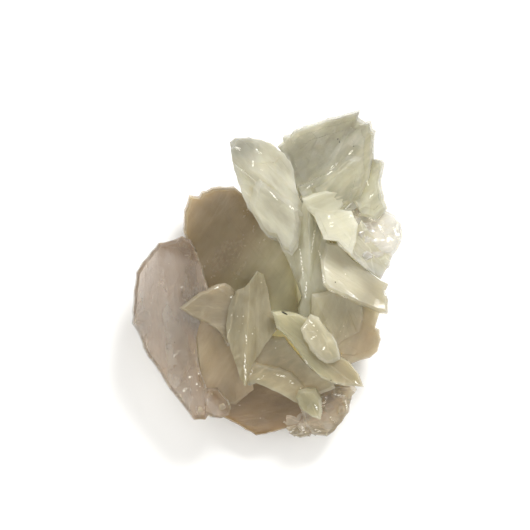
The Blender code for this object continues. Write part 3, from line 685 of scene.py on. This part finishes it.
# The pair of blades that meet in a sharp crease, like an arrow head, in the lower left middle.
# Pale green gypsum with fibres that run along the crease.
arrow_green = crystal(
    "arrow_selenite", (0.37, 0.32, 0.19), 92, polish=0.09, flaws=0.8,
    glints=(((-6.4, -25), (0.35, 4), 2), ((-6.1, -17.5), (0.3, 1.4), 4)))
roofed("arrow", arrow_green, ((-6.5, -30.3, 26), (-5, -1.2, 22)), (33, 20), 9, [
    (-11.2, -8.8), (-10.1, -6), (-8.7, -3.7), (-7, -3.2), (-5, -1.2), (-3.1, 1.6), (-1.1, 0.5),
    (0, -3.7), (0.6, -7.9), (1.7, -11.6), (2.8, -14.4), (0.3, -17.7), (-1.7, -20.5), (-4.5, -25),
    (-6.3, -30.6), (-7.8, -28.4), (-9.2, -23.9), (-10.4, -20.5), (-11.5, -17.2), (-11.8, -13.5)],
    foot=(-4, -14), shrink=0.9)


# The rough, glassy knobs on the right edge and round the lower right corner.
# Short, clear crystals broken off in facets, and grown together like crushed ice.
KNOB_CUTS = 1
KNOB_CRUSH = 0.3 * MM
knobs = [
    ((26.3, 16.4, 23), (2.8, 2.4, 2.2)), ((29.6, 16.8, 22.4), (2.8, 2.2, 2.2)),
    ((32.6, 16, 21.6), (2.6, 2.4, 2.2)), ((35, 14.2, 20.8), (2, 2.4, 2.2)),
    ((35.2, 11, 20.6), (2, 2.4, 2.2)), ((34, 8.2, 20.4), (2.2, 2, 2)), ((31.6, 13, 22), (3, 2.6, 2.2)),
    ((28, 13.4, 22.8), (3, 2.8, 2.2)), ((30.4, 10, 22.2), (3, 2.4, 2.2)), ((33, 11, 21.6), (2, 2, 2)),
    ((27.4, 10.4, 23), (1.8, 2, 2)), ((24.6, 15.4, 24), (2, 1.8, 2)), ((26, 12, 23.6), (2.4, 2, 1.8)),
    ((30.4, 6.2, 22), (2.6, 1.8, 1.8)), ((32.8, 3.6, 21), (1.6, 1.6, 1.6)),
    ((27.6, 6, 23.2), (2.2, 1.6, 1.4)), ((7.6, -43.2, 7), (2, 1.8, 2)), ((10, -42, 7.4), (2.2, 2, 2)),
    ((13, -42.6, 7.6), (2.2, 2, 2)), ((15.6, -41.4, 8.2), (2.2, 2.2, 2)),
    ((18.4, -40, 8.6), (2.2, 2.4, 2)), ((20.4, -37.2, 9.2), (2, 2.2, 2)), ((21.4, -34, 9.8), (2, 2, 1.8)),
    ((17, -36.5, 9.8), (2.6, 2.4, 2.2)), ((19.2, -32.8, 11), (2.4, 1.8, 2)),
    ((15.4, -33.4, 11.4), (2.2, 2, 2)), ((-19.2, -37, 15.2), (2.0, 1.6, 1.2)),
    ((-13, -36.2, 14.4), (1.8, 1.8, 1.2)), ((-16, -37.6, 14.7), (1.6, 1.4, 1.2)),
]
for number, (place, reach) in enumerate(knobs, 1):
    bpy.ops.object.select_all(action="DESELECT")
    bpy.ops.mesh.primitive_ico_sphere_add(subdivisions=KNOB_CUTS, radius=MM, location=(0, 0, 0),
                                          rotation=(chips.uniform(0, 3), chips.uniform(0, 3), 0))
    knob = bpy.context.object
    knob.name = f"knob_{number}"
    knob.data.materials.append(glass[0] if place[1] > 0 else skirt_glass[0])
    for other in knob.users_collection:
        other.objects.unlink(knob)
    grown.objects.link(knob)
    alone(knob)
    editing(True)
    bpy.ops.mesh.select_all(action="SELECT")
    bpy.ops.transform.vertex_random(offset=KNOB_CRUSH, seed=number)
    bpy.ops.transform.resize(value=reach, center_override=(0, 0, 0))
    spot = Vector((place[0] + ORIGIN.x, place[1] + ORIGIN.y, place[2])) * MM
    bpy.ops.transform.translate(value=spot)
    editing(False)
    bpy.ops.object.transform_apply(location=True, rotation=True, scale=True)


# The whole cluster. The crystals have grown into each other, so they are one solid,
# cut off flat underneath, where the cluster was broken from its rock.
CUT_WELD = 0.001 * MM
CREASE = math.radians(4)
cluster = grown.objects["smoky_plate"]
grown.objects.unlink(cluster)
bpy.context.scene.collection.objects.link(cluster)
cluster.name = "cluster_of_blades"
join = cluster.modifiers.new("grown_together", "BOOLEAN")
join.operation = "UNION"
join.operand_type = "COLLECTION"
join.collection = grown
join.material_mode = "TRANSFER"
alone(cluster)
bpy.ops.object.modifier_apply(modifier=join.name)
for single in list(grown.objects):
    bpy.data.objects.remove(single)
editing(True)
bpy.ops.mesh.select_all(action="SELECT")
bpy.ops.mesh.bisect(plane_co=(0, 0, 0), plane_no=(0, 0, 1), use_fill=True, clear_inner=True,
                    threshold=CUT_WELD)
bpy.ops.mesh.select_all(action="SELECT")
bpy.ops.mesh.quads_convert_to_tris()
bpy.ops.mesh.separate(type="LOOSE")
editing(False)
skins = sorted(bpy.context.selected_objects, key=lambda obj: len(obj.data.vertices))
for pocket in skins[:-1]:
    bpy.data.objects.remove(pocket)
cluster = skins[-1]
cluster.name = "cluster_of_blades"
alone(cluster)
bpy.ops.object.shade_smooth_by_angle(angle=CREASE)
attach(cluster, "root")
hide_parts("crystal_cluster")


# The floor: plain, pale and matt, a hair below the cut.
FLOOR_DROP = 0.0002
bpy.ops.object.select_all(action="DESELECT")
bpy.ops.mesh.primitive_plane_add(size=6, location=(0, 0, -FLOOR_DROP))
floor = bpy.context.object
floor.name = "floor"
bpy.ops.object.transform_apply(location=True, rotation=True, scale=True)
paper = bpy.data.materials.new("pale_paper")
paper.use_nodes = True
paper.node_tree.nodes["Principled BSDF"].inputs["Base Color"].default_value = (0.93, 0.93, 0.925, 1)
paper.node_tree.nodes["Principled BSDF"].inputs["Roughness"].default_value = 0.9
floor.data.materials.append(paper)


# The light: one broad lamp from the far right, a weaker one from the left, and a pale room.
def lamp(name, bearing, height, distance, size, watts):
    """A square lamp that looks at the origin. bearing and height are its direction in degrees."""
    data = bpy.data.lights.new(name, "AREA")
    data.size = size
    data.energy = watts
    obj = bpy.data.objects.new(name, data)
    bearing, height = math.radians(bearing), math.radians(height)
    out = math.cos(height)
    aim = Vector((math.cos(bearing) * out, math.sin(bearing) * out, math.sin(height)))
    obj.location = aim * distance
    obj.rotation_euler = aim.to_track_quat("Z", "Y").to_euler()
    bpy.context.scene.collection.objects.link(obj)


lamp("key", bearing=65, height=40, distance=1.2, size=0.45, watts=15)
lamp("fill", bearing=200, height=40, distance=1.4, size=0.9, watts=5)
room = bpy.data.worlds.new("pale_room")
room.use_nodes = True
room.node_tree.nodes["Background"].inputs["Color"].default_value = (1.0, 0.985, 0.95, 1)
room.node_tree.nodes["Background"].inputs["Strength"].default_value = 0.86
bpy.context.scene.world = room
bpy.context.scene.view_settings.view_transform = "Standard"


# The camera looks straight down from well above, through a long lens.
CAMERA_HEIGHT = 2.0
MIDDLE_HEIGHT = 0.018
SEEN_WIDTH = 0.1484
SEEN_MIDDLE = (-0.84, 3.29)  # in the outlines' millimetres
SENSOR = 36
camera_data = bpy.data.cameras.new("camera")
camera_data.sensor_width = SENSOR
camera_data.lens = SENSOR * (CAMERA_HEIGHT - MIDDLE_HEIGHT) / SEEN_WIDTH
camera_data.clip_end = 20
camera = bpy.data.objects.new("camera", camera_data)
camera.location = ((SEEN_MIDDLE[0] + ORIGIN.x) * MM, (SEEN_MIDDLE[1] + ORIGIN.y) * MM, CAMERA_HEIGHT)
bpy.context.scene.collection.objects.link(camera)
bpy.context.scene.camera = camera
